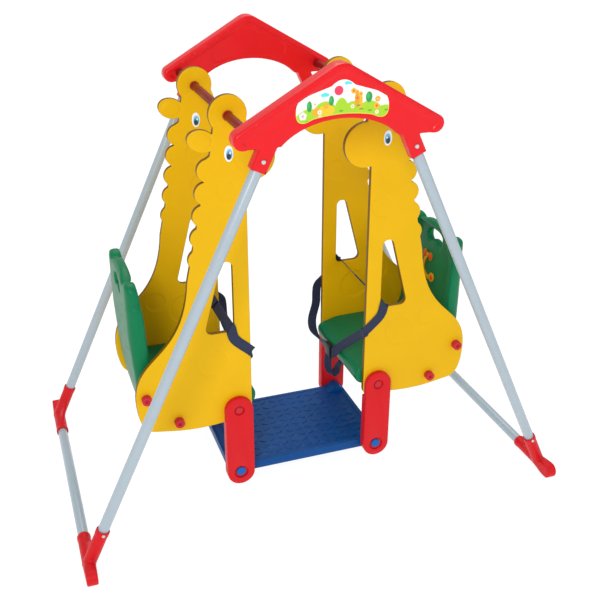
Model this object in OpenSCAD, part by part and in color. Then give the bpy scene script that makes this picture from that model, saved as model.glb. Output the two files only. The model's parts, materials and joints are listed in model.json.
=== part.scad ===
// Two-seat glider swing for toddlers. Millimetres, +Z up, +X right, +Y back.
// Origin: centre of the footprint, on the floor. Everything mirrors about X = 0 and Y = 0.

/* [Stand] */
// Distance between the left and right floor tubes, axis to axis
stand_w = 1322; // [1000:2:1600]
// Distance between the front and rear leg planes, axis to axis
stand_d = 724; // [560:2:900]
// Top of the gable above the floor
stand_h = 1229; // [1000:1:1500]
// Outer diameter of the leg and floor tubes
tube_d = 28; // [20:1:34]
// Wall of the leg and floor tubes
tube_wall = 1.6; // [1:0.1:3]

/* [Gable] */
// Thickness of a gable moulding, front to back
gable_t = 36; // [32:1:60]
// Slope of the roof edges in degrees
roof_pitch = 30.5; // [22:0.5:38]
// Distance from the middle to the centre of the rounded eave
eave_x = 231; // [190:1:300]
// Radius of the rounded eave
eave_r = 21; // [14:1:30]
// Width of the raised rim along the roof edge
rim_w = 22; // [12:1:34]
// Height the rim stands proud of the face
rim_rise = 4; // [2:0.5:8]
// Top of the arch below the peak of the roof
arch_drop = 121; // [100:1:150]
// Half width of the arch at the leg sockets
arch_half_w = 168; // [130:1:200]
// Height of the arch from the sockets to its top
arch_h = 110; // [80:1:150]
// Half distance between the leg tubes where they enter the gable
socket_x = 196; // [150:1:250]
// Width across a leg socket
socket_w = 38; // [34:1:54]
// Length of leg tube held inside the gable
socket_depth = 56; // [35:1:80]
// Half width of the printed panel
print_half_w = 110; // [70:1:130]

/* [Hanging rods] */
// Half distance between the two rods, and between the footrest pivots below them
rod_x = 207; // [170:1:260]
// Rods below the peak of the roof
rod_drop = 146; // [110:1:170]
// Diameter of the steel rod
rod_d = 12; // [8:0.5:18]
// Diameter of the red spacer tubes on the rod
spacer_d = 22; // [18:1:34]

/* [Giraffe panels] */
// Distance between the outer faces of a pair of panels
panel_span = 350; // [280:2:440]
// Thickness of a panel
panel_t = 16; // [10:1:28]
// Straight inner edge, distance from the middle of the swing
panel_in_x = 166; // [130:1:200]
// Lowest edge of a panel above the floor
panel_z = 232; // [180:1:300]
// Furthest reach of the hip from the middle
hip_x = 481; // [400:1:560]
// Height of the hip above the floor
hip_z = 345; // [300:1:420]
// Height where the neck starts to flare into the body
flare_z = 672; // [600:1:760]
// Radius of the hub lobe the rod passes through
hub_r = 47; // [34:1:60]
// Radius of the muzzle
muzzle_r = 59; // [44:1:72]
// Number of tufts down the mane
mane_count = 5; // [3:1:8]
// Height of one mane tuft
mane_pitch = 57; // [40:1:70]
// Radius of a mane tuft
mane_r = 38; // [30:1:50]
// Height of the neck opening
neck_open_h = 199; // [140:1:240]
// Bottom of the neck opening above the floor
neck_open_z = 513; // [460:1:560]

/* [Seats] */
// Front lip of the seat, distance from the middle of the swing
lip_x = 149; // [120:1:180]
// Height of the sitting surface above the floor
pan_z = 332; // [300:1:380]
// Underside of the seat moulding above the floor
seat_under_z = 232; // [200:1:280]
// Top of the backrest above the floor
back_top_z = 675; // [560:1:760]
// Width of the backrest
back_w = 300; // [240:2:316]
// Thickness of the backrest at its bolsters
back_t = 46; // [36:1:64]
// Lean of the backrest from vertical in degrees
back_lean = 4; // [0:0.5:12]
// Width of the hand hold near the top of the backrest
hold_w = 88; // [60:1:120]
// Wall of the seat moulding
seat_wall = 7; // [4:0.5:12]

/* [Footrest and links] */
// Height of the footrest pivots above the floor
peg_z = 70; // [50:1:110]
// Height of the bolts that hold the links to the panels
link_bolt_z = 274; // [250:1:300]
// Width of a link
link_w = 78; // [54:1:96]
// Thickness of the lap of a link over the panel
link_lap_t = 16; // [10:1:24]
// Length of the footrest from side to side
deck_w = 464; // [420:2:520]
// Depth of the footrest from front to back
deck_d = 320; // [240:2:330]
// Length of one raised tread bar on the footrest
tread_l = 19; // [10:0.5:24]
// Width of one raised tread bar
tread_w = 4.4; // [2:0.2:6]
// Distance between the rows of tread bars
tread_pitch = 28.5; // [24:0.5:40]
// Thickness of the footrest
deck_t = 25; // [18:1:36]
// Walking surface above the floor
deck_z = 73; // [60:1:110]
// Diameter of a footrest pivot peg
peg_d = 20; // [14:1:26]

/* [Bolts and belts] */
// Diameter of the red caps on the seat bolts
cap_d = 26; // [18:1:34]
// Height of the red caps
cap_h = 17; // [8:1:24]
// Width of the belt webbing
belt_w = 28; // [20:1:40]
// Thickness of the belt webbing
belt_t = 2; // [1.2:0.2:3]
// Diameter of the bolts through the panels
bolt_d = 10; // [6:0.5:12]
// Diameter of the bolts through the gables
gable_bolt_d = 6; // [5:0.5:8]

/* [Fits] */
// Gap between fixed parts that meet
gap = 0.3; // [0.2:0.05:0.5]
// Running clearance on the radius of a pivot
run_gap = 0.08; // [0.03:0.01:0.1]
// Clearance on the radius of a bolt in its hole
bolt_gap = 0.2; // [0.1:0.05:0.4]
// Clearance on the radius of a tube or rod that is held still
tube_gap = 0.1; // [0.05:0.01:0.2]

/* [Hidden] */

// Stand
foot_r = tube_d / 2 + 5;
arm_r = tube_d / 2 + 3;
foot_x = stand_w / 2;
leg_y = stand_d / 2;
gable_y = leg_y;
face_y = gable_y + gable_t / 2;
arch_top = stand_h - arch_drop;
socket_z = arch_top - arch_h + 7;
leg_lean = atan((foot_x - socket_x) / (socket_z - foot_r));
leg_run = (socket_z - foot_r) / cos(leg_lean);
leg_start = 34;
foot_arm = 107;
foot_toe = 53;
collar_l = 15;
gable_bolt_in = 26;
bolt_r = gable_bolt_d / 2;
rim_edge = gable_t / 2 + rim_rise;
eave_z = stand_h + 9 - eave_x * tan(roof_pitch) - eave_r / cos(roof_pitch);
peak_r = 40;
peak_z = stand_h - peak_r;

// Panels, seats and footrest
rod_z = stand_h - rod_drop;
out_y = panel_span / 2;
in_y = out_y - panel_t;
bush_lip = 1;
bush_r = rod_d / 2 + 6;
eye_x = rod_x + 1;
eye_z = rod_z - 91;
mane_top = rod_z - 129;
mane_x = 270;
mane_fall = 0.145;
seat_half = in_y - gap;
seat_rear_x = hip_x - 1;
seat_bolts = [[hip_x - 27, hip_z + 10], [hip_x - 109, link_bolt_z - 6]];
panel_bolt_r = bolt_d / 2;
bolt_reach = 34;
link_x = rod_x;
link_out_y = out_y + gap + link_lap_t;
link_in_y = deck_d / 2 + 3;
shoulder_z = panel_z + 3;
recess_r = link_w / 4 + 0.5;
recess_t = 7;
head_in = 2;
peg_in = deck_d / 2 - 38;
deck_wall = 5;
deck_skin = 6;
rib_t = 4;
border = 12;
col_pitch = tread_pitch * 30 / 28.5;
treads_x = floor((deck_w - 2 * border - 2 * tread_l) / col_pitch) + 1;
treads_y = floor((deck_d - 2 * border - 2 * tread_l) / tread_pitch) + 1;
well_w = (2 * seat_half - seat_wall) / 3;
back_round = 30;
dish_x = back_t + 20;
dish_in = 24;
motif_t = 3;

// Belts
buckle_at = [lip_x - 21, 0, pan_z - 27];
buckle_size = [13, 38, belt_w + 9];
post_c = panel_in_x + 55;
post_z = neck_open_z + 12;
down = [0.65, 0, -0.76];
across = [-0.75, 0, 0.66];
lap_off = [0.76, 0, 0.65] * (belt_t + gap) / 2;
out_run_y = out_y + belt_t / 2 + 0.7;

// 2D curve helpers: quadratic and cubic Bezier points
function bez2(a, b, c, n) = [for (i = [0 : n]) let (t = i / n)
  (1 - t) * (1 - t) * a + 2 * t * (1 - t) * b + t * t * c];
function bez3(a, b, c, d, n) = [for (i = [0 : n]) let (t = i / n, s = 1 - t)
  s * s * s * a + 3 * s * s * t * b + 3 * s * t * t * c + t * t * t * d];
// Smooth curve through a list of points
function spline(p, n) = [for (k = [0 : len(p) - 2]) for (i = [0 : n - (k < len(p) - 2 ? 1 : 0)])
  let (a = p[max(k - 1, 0)], b = p[k], c = p[k + 1], d = p[min(k + 2, len(p) - 1)], t = i / n)
  b + t * (c - a) / 2 + t * t * (a - 2.5 * b + 2 * c - d / 2)
    + t * t * t * (1.5 * b - a / 2 - 1.5 * c + d / 2)];
function unit(v) = v / norm(v);

// Places a side-view drawing (x, z) between two distances from the middle plane
module slab(y0, y1) translate([0, y1, 0]) rotate([90, 0, 0]) linear_extrude(y1 - y0) children();
// Round bar along Y at a side-view position
module pin(x, z, r, y0, y1) translate([x, y0, z]) rotate([-90, 0, 0]) cylinder(r = r, h = y1 - y0, $fn = 64);
module flip_x(on) if (on) mirror([1, 0, 0]) children(); else children();
module flip_y(on) if (on) mirror([0, 1, 0]) children(); else children();
module both_y() { children(); mirror([0, 1, 0]) children(); }
module both_x() { children(); mirror([1, 0, 0]) children(); }

// ---------- gable ----------
module roof_outline() hull() {
  translate([0, peak_z]) circle(peak_r, $fn = 72);
  both_x() translate([eave_x, eave_z]) circle(eave_r, $fn = 48);
}
module socket_outline() both_x() translate([socket_x, socket_z]) rotate(leg_lean)
  translate([-socket_w / 2, 0]) square([socket_w, 78]);
module arch_outline() {
  translate([0, arch_top - arch_h]) scale([arch_half_w / arch_h, 1]) circle(arch_h, $fn = 120);
  translate([-arch_half_w - 6, arch_top - arch_h - 40]) square([2 * arch_half_w + 12, 40]);
}
module gable_outline() difference() {
  union() { roof_outline(); socket_outline(); }
  arch_outline();
}
module rim_band() difference() {
  roof_outline();
  translate([0, -rim_w / cos(roof_pitch)]) hull() {
    translate([0, peak_z]) circle(peak_r, $fn = 72);
    both_x() translate([eave_x + 90, eave_z - 90 * tan(roof_pitch)]) circle(eave_r, $fn = 48);
    both_x() translate([eave_x, eave_z - 200]) circle(eave_r, $fn = 48);
  }
}
module print_outline(d) {
  low = arch_top + 10 - d;
  polygon(concat(
    bez2([-print_half_w - d, low + 12], [-print_half_w - d, low + 30], [-print_half_w + 14, low + 42 + d], 8),
    bez2([-28, stand_h - 48 + d], [0, stand_h - 22 + d], [28, stand_h - 48 + d], 12),
    bez2([print_half_w - 14, low + 42 + d], [print_half_w + d, low + 30], [print_half_w + d, low + 12], 8),
    bez2([print_half_w + d, low + 4], [print_half_w - 3, low - 18], [print_half_w - 26, low - 12], 8),
    bez2([print_half_w - 40, low - 6], [0, low + 8], [-print_half_w + 40, low - 6], 16),
    bez2([-print_half_w + 26, low - 12], [-print_half_w + 3, low - 18], [-print_half_w - d, low + 4], 8)));
}
module leg_axis(x0) translate([x0, 0, socket_z]) rotate([0, -leg_lean, 0]) children();
module gable() difference() {
  union() {
    slab(-face_y, -gable_y + gable_t / 2) gable_outline();
    slab(-gable_y - rim_edge, -gable_y + rim_edge) rim_band();
  }
  both_x() translate([0, -leg_y, 0]) leg_axis(socket_x)
    translate([0, 0, -10]) cylinder(r = tube_d / 2 + gap, h = socket_depth + 10 + gap, $fn = 64);
  both_x() translate([0, -gable_y, 0]) leg_axis(socket_x) translate([0, 0, gable_bolt_in])
    rotate([90, 0, 0]) cylinder(r = bolt_r + bolt_gap, h = gable_t + 2, center = true, $fn = 32);
  both_x() pin(rod_x, rod_z, rod_d / 2 + tube_gap, -gable_y - 8, -gable_y + rim_edge + 1);
  slab(-face_y - 1, -face_y + 1.2) print_outline(0.6);
}
module gable_front() color("#E3212C") gable();
module gable_rear() color("#E3212C") mirror([0, 1, 0]) gable();
module print_panel() slab(-face_y + 0.2, -face_y + 0.9) print_outline(0);
module print_front() color("#F4F4EE") print_panel();
module print_rear() color("#F4F4EE") mirror([0, 1, 0]) print_panel();

// ---------- legs, floor tubes, feet ----------
module leg() translate([0, -leg_y, 0]) leg_axis(socket_x) difference() {
  translate([0, 0, leg_start - leg_run])
    cylinder(r = tube_d / 2, h = leg_run - leg_start + socket_depth, $fn = 64);
  translate([0, 0, -leg_run]) cylinder(r = tube_d / 2 - tube_wall, h = leg_run + socket_depth + 5, $fn = 64);
  translate([0, 0, gable_bolt_in]) rotate([90, 0, 0])
    cylinder(r = bolt_r + bolt_gap, h = tube_d + 4, center = true, $fn = 32);
}
module leg_front_right() color("#AEBCC6") leg();
module leg_front_left() color("#AEBCC6") mirror([1, 0, 0]) leg();
module leg_rear_right() color("#AEBCC6") mirror([0, 1, 0]) leg();
module leg_rear_left() color("#AEBCC6") mirror([1, 0, 0]) mirror([0, 1, 0]) leg();
module floor_tube() translate([-foot_x, leg_y - leg_start, foot_r]) rotate([90, 0, 0]) difference() {
  cylinder(r = tube_d / 2, h = 2 * (leg_y - leg_start), $fn = 64);
  translate([0, 0, -1]) cylinder(r = tube_d / 2 - tube_wall, h = 2 * leg_y, $fn = 64);
}
module floor_tube_left() color("#AEBCC6") floor_tube();
module floor_tube_right() color("#AEBCC6") mirror([1, 0, 0]) floor_tube();
// Foot about its own joint point: leg arm rises towards +X, floor arm runs to +Y, toe to -Y
module foot_shape() difference() {
  union() {
    rotate([0, leg_lean, 0]) cylinder(r = arm_r, h = foot_arm - 1, $fn = 64);
    rotate([0, leg_lean, 0]) translate([0, 0, foot_arm - collar_l])
      cylinder(r = foot_r - 1, h = collar_l, $fn = 64);
    rotate([-90, 0, 0]) cylinder(r = arm_r, h = foot_arm - 1, $fn = 64);
    translate([0, foot_arm - collar_l, 0]) rotate([-90, 0, 0])
      cylinder(r = foot_r - 1, h = collar_l, $fn = 64);
    sphere(r = foot_r - 1, $fn = 64);
    hull() {
      sphere(r = foot_r - 2, $fn = 32);
      translate([0, -foot_toe, 0]) rotate([0, 90, 0])
        cylinder(r = foot_r + 1.5, h = foot_r * 1.5, center = true, $fn = 32);
    }
    hull() {
      rotate([0, leg_lean, 0]) translate([0, 0, foot_arm - 30]) cube([8, 8, 2], center = true);
      translate([0, foot_arm - 30, 0]) cube([8, 2, 8], center = true);
      cube([12, 4, 12], center = true);
    }
  }
  rotate([0, leg_lean, 0]) translate([0, 0, leg_start - 1])
    cylinder(r = tube_d / 2 + tube_gap, h = foot_arm, $fn = 64);
  translate([0, leg_start - 1, 0]) rotate([-90, 0, 0])
    cylinder(r = tube_d / 2 + tube_gap, h = foot_arm, $fn = 64);
  rotate([0, leg_lean, 0]) translate([0, 0, foot_arm - collar_l / 2]) rotate([90, 0, 0])
    cylinder(r = 2.2, h = foot_r + 5, $fn = 24);
  translate([-50, -150, -foot_r - 20]) cube([100, 350, 20]);
}
module foot() translate([-foot_x, -leg_y, foot_r]) foot_shape();
module foot_front_left() color("#D8202B") foot();
module foot_front_right() color("#D8202B") mirror([1, 0, 0]) foot();
module foot_rear_left() color("#D8202B") mirror([0, 1, 0]) foot();
module foot_rear_right() color("#D8202B") mirror([1, 0, 0]) mirror([0, 1, 0]) foot();
module foot_screw() translate([-foot_x, -leg_y, foot_r]) rotate([0, leg_lean, 0])
  translate([0, 0, foot_arm - collar_l / 2]) rotate([90, 0, 0]) {
    translate([0, 0, tube_d / 2 + gap]) cylinder(r = 1.9, h = foot_r - 1 - tube_d / 2, $fn = 24);
    translate([0, 0, foot_r - 1 + 0.2]) cylinder(r1 = 4.5, r2 = 3.4, h = 2.2, $fn = 32);
  }
module foot_screws() color("#D9DCDD") { both_y() both_x() foot_screw(); }
module gable_bolt() translate([0, -gable_y, 0]) leg_axis(socket_x) translate([0, 0, gable_bolt_in])
  rotate([90, 0, 0]) {
    cylinder(r = bolt_r, h = gable_t + 6, center = true, $fn = 32);
    translate([0, 0, gable_t / 2 + gap]) cylinder(r1 = 6, r2 = 4.6, h = 3, $fn = 40);
    translate([0, 0, -gable_t / 2 - gap - 4]) cylinder(r = 5.8, h = 4, $fn = 6);
  }
module gable_bolts() color("#D9DCDD") { both_y() both_x() gable_bolt(); }

// ---------- rods and spacers ----------
module rod() pin(-rod_x, rod_z, rod_d / 2, -gable_y - 7, gable_y + 7);
module spacer(y0, y1) difference() {
  pin(-rod_x, rod_z, spacer_d / 2, y0, y1);
  pin(-rod_x, rod_z, rod_d / 2 + tube_gap, y0 - 1, y1 + 1);
}
module spacer_outer() spacer(-gable_y + rim_edge + gap, -out_y - bush_lip - 0.2);
module spacer_mid() spacer(-in_y + bush_lip + 0.2, in_y - bush_lip - 0.2);
module rod_left() color("#B9BDC0") rod();
module rod_right() color("#B9BDC0") mirror([1, 0, 0]) rod();
module spacer_front_left() color("#B01E24") spacer_outer();
module spacer_rear_left() color("#B01E24") mirror([0, 1, 0]) spacer_outer();
module spacer_mid_left() color("#B01E24") spacer_mid();
module spacer_front_right() color("#B01E24") mirror([1, 0, 0]) spacer_outer();
module spacer_rear_right() color("#B01E24") mirror([1, 0, 0]) mirror([0, 1, 0]) spacer_outer();
module spacer_mid_right() color("#B01E24") mirror([1, 0, 0]) spacer_mid();
module bush() difference() {
  pin(rod_x, rod_z, bush_r, -out_y - bush_lip, -in_y + bush_lip);
  pin(rod_x, rod_z, rod_d / 2 + run_gap, -out_y - 2, -in_y + 2);
}
module bushes_right() color("#8E1A1F") both_y() bush();
module bushes_left() color("#8E1A1F") mirror([1, 0, 0]) both_y() bush();

// ---------- giraffe panel, drawn for the right-hand seat ----------
module giraffe_outline() union() {
  neck_base = mane_x + mane_fall * (mane_top - flare_z) + 20;
  polygon(concat(
    [[panel_in_x, rod_z - 150], [panel_in_x, panel_z + 26]],
    bez2([panel_in_x, panel_z + 26], [panel_in_x + 1, panel_z + 6], [panel_in_x + 20, panel_z + 5], 8),
    bez2([panel_in_x + 84, panel_z + 3.5], [hip_x - 150, panel_z - 6], [hip_x - 80, panel_z + 8], 12),
    bez2([hip_x - 43, panel_z + 14], [hip_x - 6, panel_z + 20], [hip_x - 1, hip_z - 20], 12),
    bez3([hip_x, hip_z], [hip_x, hip_z + 144], [neck_base + 14, flare_z - 224], [neck_base - 4, flare_z], 24),
    [[mane_x - 16, mane_top + 40], [rod_x + 36, rod_z - 20], [rod_x - 40, rod_z], [rod_x - 62, rod_z - 60]]));
  translate([rod_x, rod_z + 3]) circle(hub_r, $fn = 96);
  translate([panel_in_x - 16, rod_z - 105]) circle(muzzle_r, $fn = 96);
  translate([rod_x + 66, rod_z - 56]) rotate(18) scale([1.33, 1]) circle(27, $fn = 64);
  for (i = [0 : mane_count - 1])
    translate([mane_x + mane_fall * i * mane_pitch - 11, mane_top - i * mane_pitch])
      circle(mane_r * 0.78, $fn = 64);
  translate([mane_x - 30, mane_top]) circle(mane_r, $fn = 64);
}
module neck_opening() hull() {
  translate([panel_in_x + 59, neck_open_z + neck_open_h - 16]) circle(16, $fn = 48);
  translate([panel_in_x + 56, neck_open_z + 13]) circle(13, $fn = 48);
  translate([panel_in_x + 103, neck_open_z + 16]) circle(16, $fn = 48);
}
module giraffe_shape() difference() {
  slab(-out_y, -in_y) difference() { giraffe_outline(); neck_opening(); }
  pin(rod_x, rod_z, bush_r + 0.05, -out_y - 1, -in_y + 1);
  for (b = seat_bolts) pin(b[0], b[1], panel_bolt_r + bolt_gap, -out_y - 1, -in_y + 1);
  pin(link_x, link_bolt_z, panel_bolt_r + bolt_gap, -out_y - 1, -in_y + 1);
}
module giraffe_front_right() color("#E5B805") giraffe_shape();
module giraffe_rear_right() color("#E5B805") mirror([0, 1, 0]) giraffe_shape();
module giraffe_front_left() color("#E5B805") mirror([1, 0, 0]) giraffe_shape();
module giraffe_rear_left() color("#E5B805") mirror([1, 0, 0]) mirror([0, 1, 0]) giraffe_shape();
module eye(y0) slab(y0, y0 + 0.6) translate([eye_x, eye_z]) scale([0.56, 1]) circle(20, $fn = 64);
module eye_pair() both_y() { eye(-out_y - 0.9); eye(-in_y + gap); }
module eyes_right() color("#F2F4F4") eye_pair();
module eyes_left() color("#F2F4F4") mirror([1, 0, 0]) eye_pair();

// ---------- seat, drawn for the right-hand side ----------
module seat_profile() polygon(concat(
  bez2([lip_x + 22, seat_under_z + 33], [lip_x + 4, seat_under_z + 34], [lip_x, pan_z - 42], 6),
  bez2([lip_x - 1, pan_z - 34], [lip_x, pan_z - 18], [lip_x + 18, pan_z - 14], 6),
  bez2([lip_x + 24, pan_z - 13], [lip_x + 60, pan_z], [lip_x + 96, pan_z], 6),
  bez2([seat_rear_x - 96, pan_z], [seat_rear_x - back_t - 10, pan_z], [seat_rear_x - back_t - 4, pan_z + 50], 8),
  [[seat_rear_x - back_t, pan_z + 152], [seat_rear_x - back_t + 5, pan_z + 254]],
  bez2([seat_rear_x - 31, back_top_z - 12], [seat_rear_x - 26, back_top_z + 6],
    [seat_rear_x - 12, back_top_z + 4], 6),
  [[seat_rear_x, back_top_z - 20], [seat_rear_x, pan_z + 178], [seat_rear_x - 10, pan_z + 18]],
  bez2([seat_rear_x - 24, seat_under_z + 26], [seat_rear_x - 28, seat_under_z],
    [seat_rear_x - 50, seat_under_z], 6),
  [[lip_x + 86, seat_under_z]]));
module cloud_outline() union() {
  h = back_w / 2;
  translate([-h, pan_z - 10]) square([back_w, back_top_z - 83 - pan_z + 10]);
  translate([-h + 14, pan_z]) square([back_w - 28, back_top_z - 69 - pan_z]);
  translate([-h + 34, pan_z]) square([back_w - 68, back_top_z - 24 - pan_z]);
  for (s = [-1, 1]) {
    translate([s * (h - 14), back_top_z - 83]) circle(14, $fn = 48);
    translate([s * (h - 33), back_top_z - 42]) circle(33, $fn = 64);
  }
  intersection() {
    translate([0, back_top_z - 178]) circle(178, $fn = 144);
    translate([-82, pan_z]) square([164, back_top_z - pan_z + 5]);
  }
}
// Backrest seen from above, with its rear corners rounded
module back_plan() {
  h = back_w / 2 - back_round;
  translate([lip_x - 20, -seat_half]) square([seat_rear_x - back_round - lip_x + 20, 2 * seat_half]);
  translate([seat_rear_x - back_round - 1, -h]) square([back_round + 1, 2 * h]);
  for (s = [-1, 1]) translate([seat_rear_x - back_round, s * h]) circle(back_round, $fn = 96);
}
module facing(x0, x1) translate([x0, 0, 0]) rotate([90, 0, 90]) linear_extrude(x1 - x0) children();
module hold_outline() {
  e = hold_w / 2 - 16;
  polygon(concat(bez2([-e - 4, back_top_z - 40], [0, back_top_z - 20], [e + 4, back_top_z - 40], 10),
    bez2([e + 4, back_top_z - 70], [0, back_top_z - 52], [-e - 4, back_top_z - 70], 10)));
  for (s = [-1, 1]) translate([s * e, back_top_z - 55]) circle(15.5, $fn = 48);
}
module dish_outline() {
  h = back_w / 2 - 34;
  translate([-h + 24, pan_z + 40]) square([2 * h - 48, back_top_z - 62 - pan_z]);
  translate([-h, pan_z + 64]) square([2 * h, back_top_z - 150 - pan_z]);
  for (s = [-1, 1]) {
    translate([s * (h - 24), pan_z + 64]) circle(24, $fn = 48);
    translate([s * (h - 24), back_top_z - 86]) circle(24, $fn = 48);
    translate([s * (h - 44), back_top_z - 46]) circle(24, $fn = 48);
  }
}
// Backrest drawings lean with the backrest
module dish_place() translate([seat_rear_x - dish_x, 0, pan_z]) rotate([0, back_lean, 0])
  translate([-seat_rear_x, 0, -pan_z]) children();
module seat_shape() difference() {
  intersection() {
    slab(-seat_half, seat_half) seat_profile();
    union() {
      translate([0, -seat_half, seat_under_z - 5]) cube([hip_x + 20, 2 * seat_half, pan_z - seat_under_z + 3]);
      intersection() {
        facing(lip_x - 10, hip_x + 20) cloud_outline();
        translate([0, 0, pan_z - 20]) linear_extrude(back_top_z - pan_z + 40) back_plan();
      }
    }
  }
  // dished face of the backrest
  dish_place() facing(seat_rear_x - 40, seat_rear_x + dish_in) dish_outline();
  facing(lip_x, hip_x + 20) hold_outline();
  // open, ribbed underside
  for (k = [-1, 0, 1])
    translate([lip_x + 96, k * well_w - seat_half / 3 + seat_wall / 2 + 1, seat_under_z - 1]) difference() {
    cube([seat_rear_x - lip_x - 160, 2 * seat_half / 3 - seat_wall - 2, pan_z - seat_under_z - 13]);
    for (b = seat_bolts) pin(b[0] - lip_x - 96, b[1] - seat_under_z + 1, 15, -5, 2 * seat_half);
  }
  for (b = concat(seat_bolts, [[link_x, link_bolt_z]]))
    both_y() pin(b[0], b[1], panel_bolt_r + bolt_gap, -seat_half - 1, -seat_half + bolt_reach + 2);
}
module seat_right() color("#12804A") seat_shape();
module seat_left() color("#12804A") mirror([1, 0, 0]) seat_shape();
// Flower motif that clips onto the dished backrest: a disc, a curled stem and two buds
module motif_outline() translate([0, pan_z]) {
  translate([-15, 170]) circle(14, $fn = 48);
  for (y = [6, 40]) translate([y, 228]) scale([0.8, 1.1]) circle(11.5, $fn = 48);
  polygon(concat(bez2([-12, 159], [46, 150], [46, 188], 10), bez2([46, 188], [46, 208], [36, 234], 6),
    bez2([12, 234], [36, 210], [36, 188], 6), bez2([36, 188], [36, 166], [-12, 169], 10)));
}
module motif() dish_place()
  facing(seat_rear_x + dish_in - motif_t - gap, seat_rear_x + dish_in - gap) motif_outline();
module motif_right() color("#F0A81C") motif();
module motif_left() color("#F0A81C") mirror([1, 0, 0]) motif();

// ---------- bolts ----------
module seat_bolt(b) {
  pin(b[0], b[1], panel_bolt_r, -out_y - gap - 2, -seat_half + bolt_reach);
  difference() {
    pin(b[0], b[1], cap_d / 2, -out_y - gap - cap_h, -out_y - gap);
    translate([b[0], -out_y - gap - cap_h - 1, b[1]]) rotate([-90, 0, 0]) cylinder(r = 5.5, h = 6, $fn = 6);
  }
}
module seat_bolt_set() both_y() for (b = seat_bolts) seat_bolt(b);
module seat_bolts_right() color("#C63A44") seat_bolt_set();
module seat_bolts_left() color("#C63A44") mirror([1, 0, 0]) seat_bolt_set();
module link_bolt_set() both_y() {
  pin(link_x, link_bolt_z, panel_bolt_r, -link_out_y + recess_t - 1.5, -seat_half + bolt_reach);
  pin(link_x, link_bolt_z, 10.5, -link_out_y + head_in, -link_out_y + recess_t - 1 - gap);
}
module link_bolts_right() color("#B92733") link_bolt_set();
module link_bolts_left() color("#B92733") mirror([1, 0, 0]) link_bolt_set();

// ---------- links ----------
module link_outline() union() {
  translate([link_x, link_bolt_z]) circle(link_w / 2, $fn = 96);
  translate([link_x, peg_z]) circle(link_w / 2, $fn = 96);
  translate([link_x - link_w / 2, peg_z]) square([link_w, link_bolt_z - peg_z]);
}
module link_shape() difference() {
  union() {
    slab(-link_out_y, -out_y - gap) link_outline();
    slab(-link_out_y, -link_in_y) intersection() {
      link_outline();
      translate([link_x - link_w, 0]) square([2 * link_w, shoulder_z]);
    }
  }
  pin(link_x, link_bolt_z, 14.5, -link_out_y - 1, -link_out_y + recess_t - 1);
  pin(link_x, link_bolt_z, panel_bolt_r + bolt_gap, -link_out_y, -out_y + 1);
  pin(link_x, peg_z, recess_r, -link_out_y - 1, -link_out_y + recess_t);
  pin(link_x, peg_z, peg_d / 2 + run_gap, -link_out_y, -link_in_y + 1);
}
module link_front_right() color("#D8202B") link_shape();
module link_rear_right() color("#D8202B") mirror([0, 1, 0]) link_shape();
module link_front_left() color("#D8202B") mirror([1, 0, 0]) link_shape();
module link_rear_left() color("#D8202B") mirror([1, 0, 0]) mirror([0, 1, 0]) link_shape();

// ---------- footrest ----------
module boss_outline() translate([link_x, 0]) union() {
  translate([0, peg_z]) circle(peg_d, $fn = 72);
  polygon([[-peg_d * 1.9, deck_z - 2], [-peg_d * 0.82, peg_z + peg_d * 0.57],
    [peg_d * 0.82, peg_z + peg_d * 0.57], [deck_w / 2 - link_x, deck_z - 2],
    [deck_w / 2 - link_x, deck_z - deck_t], [-peg_d * 1.9, deck_z - deck_t]]);
}
module footrest() color("#164C93") difference() {
  union() {
    difference() {
      translate([-deck_w / 2, -deck_d / 2, deck_z - deck_t]) cube([deck_w, deck_d, deck_t - 1.6]);
      translate([-deck_w / 2 + deck_wall, -deck_d / 2 + deck_wall, deck_z - deck_t - 1])
        cube([deck_w - 2 * deck_wall, deck_d - 2 * deck_wall, deck_t - deck_skin]);
    }
    for (k = [-3 : 3]) translate([k * deck_w / 8 - rib_t / 2, -deck_d / 2 + 3, deck_z - deck_t + 5])
      cube([rib_t, deck_d - 6, deck_t - 9]);
    for (k = [-1 : 1]) translate([-deck_w / 2 + 3, k * deck_d / 4 - rib_t / 2, deck_z - deck_t + 5])
      cube([deck_w - 6, rib_t, deck_t - 9]);
    both_x() both_y() slab(-deck_d / 2, -peg_in + 4) boss_outline();
    // raised border and tread bars
    difference() {
      translate([-deck_w / 2, -deck_d / 2, deck_z - 2]) cube([deck_w, deck_d, 2]);
      translate([-deck_w / 2 + border, -deck_d / 2 + border, deck_z - 3])
        cube([deck_w - 2 * border, deck_d - 2 * border, 4]);
    }
    for (i = [0 : treads_x - 1]) for (j = [0 : treads_y - 1])
      let (x = (i - (treads_x - 1) / 2) * col_pitch, y = (j - (treads_y - 1) / 2) * tread_pitch)
      if (abs(x) < deck_w / 2 - 60 || abs(y) < peg_in - 12)
        translate([x, y, deck_z - 1]) rotate((i + j) % 2 == 0 ? 32 : -32)
          cube([tread_l, tread_w, 1.8], center = true);
  }
  both_x() both_y() pin(link_x, peg_z, peg_d / 2 + 0.05, -deck_d / 2 - 1, -peg_in);
}
module peg() {
  pin(link_x, peg_z, peg_d / 2, -link_out_y + recess_t - 1, -peg_in - 0.5);
  pin(link_x, peg_z, peg_d / 2 + 3.5, -link_out_y + head_in, -link_out_y + recess_t - gap);
}
module footrest_pegs() color("#1C5FB0") { both_x() both_y() peg(); }
module washer() difference() {
  pin(link_x, peg_z, peg_d - 2, -link_in_y + 0.2, -deck_d / 2 - 0.2);
  pin(link_x, peg_z, peg_d / 2 + 0.1, -link_in_y - 1, -deck_d / 2 + 1);
}
module footrest_washers() color("#EDEEEA") { both_x() both_y() washer(); }

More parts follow.
